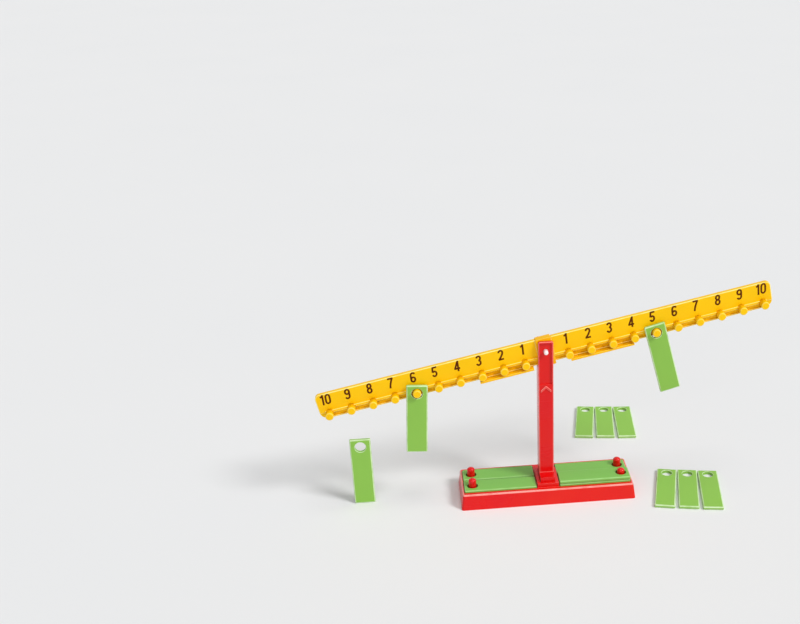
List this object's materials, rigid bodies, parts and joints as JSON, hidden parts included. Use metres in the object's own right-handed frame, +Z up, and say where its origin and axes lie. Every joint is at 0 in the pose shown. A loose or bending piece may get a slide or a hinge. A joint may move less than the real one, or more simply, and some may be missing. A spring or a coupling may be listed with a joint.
{
  "type": "math balance",
  "caption": "Number balance with pegs on a tilting beam, a fork column, balance adjusters, hanging tablets and a base tray that stores spare tablets.",
  "frame": {"origin": "middle of the tray's underside, below the column, on the table", "axes": "+X along the beam to the right as seen from the numbered side, +Y to the back, +Z up; the pegs and numbers face -Y"},
  "size_m": [0.4532, 0.2437, 0.2205],
  "materials": {
    "stand_plastic": "glossy moulded plastic",
    "beam_plastic": "satin moulded plastic",
    "tablet_plastic": "matt moulded plastic",
    "pin_plastic": "matt moulded plastic"
  },
  "bodies": {
    "stand": {"tray": "stand_plastic", "column": "stand_plastic", "pivot_pin": "pin_plastic"},
    "beam": {"beam_hub": "beam_plastic", "left_arm": "beam_plastic", "right_arm": "beam_plastic"},
    "left_adjuster": {"left_adjuster": "beam_plastic"},
    "right_adjuster": {"right_adjuster": "beam_plastic"},
    "left_hung_tablet": {"left_hung_tablet": "tablet_plastic"},
    "right_hung_tablet": {"right_hung_tablet": "tablet_plastic"},
    "left_front_tablet_1": {"left_front_tablet_1": "tablet_plastic"},
    "left_front_tablet_2": {"left_front_tablet_2": "tablet_plastic"},
    "left_front_tablet_3": {"left_front_tablet_3": "tablet_plastic"},
    "left_front_tablet_4": {"left_front_tablet_4": "tablet_plastic"},
    "left_back_tablet_1": {"left_back_tablet_1": "tablet_plastic"},
    "left_back_tablet_2": {"left_back_tablet_2": "tablet_plastic"},
    "left_back_tablet_3": {"left_back_tablet_3": "tablet_plastic"},
    "left_back_tablet_4": {"left_back_tablet_4": "tablet_plastic"},
    "right_front_tablet_1": {"right_front_tablet_1": "tablet_plastic"},
    "right_front_tablet_2": {"right_front_tablet_2": "tablet_plastic"},
    "right_front_tablet_3": {"right_front_tablet_3": "tablet_plastic"},
    "right_front_tablet_4": {"right_front_tablet_4": "tablet_plastic"},
    "right_front_tablet_5": {"right_front_tablet_5": "tablet_plastic"},
    "right_back_tablet_1": {"right_back_tablet_1": "tablet_plastic"},
    "right_back_tablet_2": {"right_back_tablet_2": "tablet_plastic"},
    "right_back_tablet_3": {"right_back_tablet_3": "tablet_plastic"},
    "right_back_tablet_4": {"right_back_tablet_4": "tablet_plastic"},
    "standing_tablet": {"standing_tablet": "tablet_plastic"},
    "back_fan_tablet_1": {"back_fan_tablet_1": "tablet_plastic"},
    "back_fan_tablet_2": {"back_fan_tablet_2": "tablet_plastic"},
    "back_fan_tablet_3": {"back_fan_tablet_3": "tablet_plastic"},
    "side_fan_tablet_1": {"side_fan_tablet_1": "tablet_plastic"},
    "side_fan_tablet_2": {"side_fan_tablet_2": "tablet_plastic"},
    "side_fan_tablet_3": {"side_fan_tablet_3": "tablet_plastic"}
  },
  "joints": [
    {"name": "beam_pivot", "type": "hinge", "parent": "stand", "child": "beam", "pos_m": [0, 0, 0.1615], "axis": [0, 1, 0], "range_deg": [0, 24]},
    {"name": "left_adjuster_slide", "type": "slide", "parent": "beam", "child": "left_adjuster", "axis": [-0.9781, 0, -0.2079], "range_m": [-0.0035, 0.028]},
    {"name": "right_adjuster_slide", "type": "slide", "parent": "beam", "child": "right_adjuster", "axis": [0.9781, 0, 0.2079], "range_m": [-0.011, 0.011]},
    {"name": "left_hung_tablet_swing", "type": "hinge", "parent": "beam", "child": "left_hung_tablet", "pos_m": [-0.12741, -0.0061, 0.12604], "axis": [0, -1, 0], "range_deg": [-30.8, 61.2]},
    {"name": "right_hung_tablet_swing", "type": "hinge", "parent": "beam", "child": "right_hung_tablet", "pos_m": [0.1093, -0.0061, 0.17635], "axis": [0, -1, 0], "range_deg": [-49.2, 42.8]},
    {"name": "left_front_tablet_1_lift", "type": "slide", "parent": "stand", "child": "left_front_tablet_1", "axis": [0, 0, 1], "range_m": [0, 0.018]},
    {"name": "left_front_tablet_2_lift", "type": "slide", "parent": "left_front_tablet_1", "child": "left_front_tablet_2", "axis": [0, 0, 1], "range_m": [0, 0.018]},
    {"name": "left_front_tablet_3_lift", "type": "slide", "parent": "left_front_tablet_2", "child": "left_front_tablet_3", "axis": [0, 0, 1], "range_m": [0, 0.018]},
    {"name": "left_front_tablet_4_lift", "type": "slide", "parent": "left_front_tablet_3", "child": "left_front_tablet_4", "axis": [0, 0, 1], "range_m": [0, 0.018]},
    {"name": "left_back_tablet_1_lift", "type": "slide", "parent": "stand", "child": "left_back_tablet_1", "axis": [0, 0, 1], "range_m": [0, 0.018]},
    {"name": "left_back_tablet_2_lift", "type": "slide", "parent": "left_back_tablet_1", "child": "left_back_tablet_2", "axis": [0, 0, 1], "range_m": [0, 0.018]},
    {"name": "left_back_tablet_3_lift", "type": "slide", "parent": "left_back_tablet_2", "child": "left_back_tablet_3", "axis": [0, 0, 1], "range_m": [0, 0.018]},
    {"name": "left_back_tablet_4_lift", "type": "slide", "parent": "left_back_tablet_3", "child": "left_back_tablet_4", "axis": [0, 0, 1], "range_m": [0, 0.018]},
    {"name": "right_front_tablet_1_lift", "type": "slide", "parent": "stand", "child": "right_front_tablet_1", "axis": [0, 0, 1], "range_m": [0, 0.018]},
    {"name": "right_front_tablet_2_lift", "type": "slide", "parent": "right_front_tablet_1", "child": "right_front_tablet_2", "axis": [0, 0, 1], "range_m": [0, 0.018]},
    {"name": "right_front_tablet_3_lift", "type": "slide", "parent": "right_front_tablet_2", "child": "right_front_tablet_3", "axis": [0, 0, 1], "range_m": [0, 0.018]},
    {"name": "right_front_tablet_4_lift", "type": "slide", "parent": "right_front_tablet_3", "child": "right_front_tablet_4", "axis": [0, 0, 1], "range_m": [0, 0.018]},
    {"name": "right_front_tablet_5_lift", "type": "slide", "parent": "right_front_tablet_4", "child": "right_front_tablet_5", "axis": [0, 0, 1], "range_m": [0, 0.018]},
    {"name": "right_back_tablet_1_lift", "type": "slide", "parent": "stand", "child": "right_back_tablet_1", "axis": [0, 0, 1], "range_m": [0, 0.018]},
    {"name": "right_back_tablet_2_lift", "type": "slide", "parent": "right_back_tablet_1", "child": "right_back_tablet_2", "axis": [0, 0, 1], "range_m": [0, 0.018]},
    {"name": "right_back_tablet_3_lift", "type": "slide", "parent": "right_back_tablet_2", "child": "right_back_tablet_3", "axis": [0, 0, 1], "range_m": [0, 0.018]},
    {"name": "right_back_tablet_4_lift", "type": "slide", "parent": "right_back_tablet_3", "child": "right_back_tablet_4", "axis": [0, 0, 1], "range_m": [0, 0.018]},
    {"name": "standing_tablet_lift", "type": "slide", "parent": "stand", "child": "standing_tablet", "axis": [0, 0, 1], "range_m": [0, 0.025]},
    {"name": "back_fan_tablet_1_lift", "type": "slide", "parent": "stand", "child": "back_fan_tablet_1", "axis": [0, 0, 1], "range_m": [0, 0.025]},
    {"name": "back_fan_tablet_2_lift", "type": "slide", "parent": "stand", "child": "back_fan_tablet_2", "axis": [0, 0, 1], "range_m": [0, 0.025]},
    {"name": "back_fan_tablet_3_lift", "type": "slide", "parent": "stand", "child": "back_fan_tablet_3", "axis": [0, 0, 1], "range_m": [0, 0.025]},
    {"name": "side_fan_tablet_1_lift", "type": "slide", "parent": "stand", "child": "side_fan_tablet_1", "axis": [0, 0, 1], "range_m": [0, 0.025]},
    {"name": "side_fan_tablet_2_lift", "type": "slide", "parent": "stand", "child": "side_fan_tablet_2", "axis": [0, 0, 1], "range_m": [0, 0.025]},
    {"name": "side_fan_tablet_3_lift", "type": "slide", "parent": "stand", "child": "side_fan_tablet_3", "axis": [0, 0, 1], "range_m": [0, 0.025]}
  ]
}
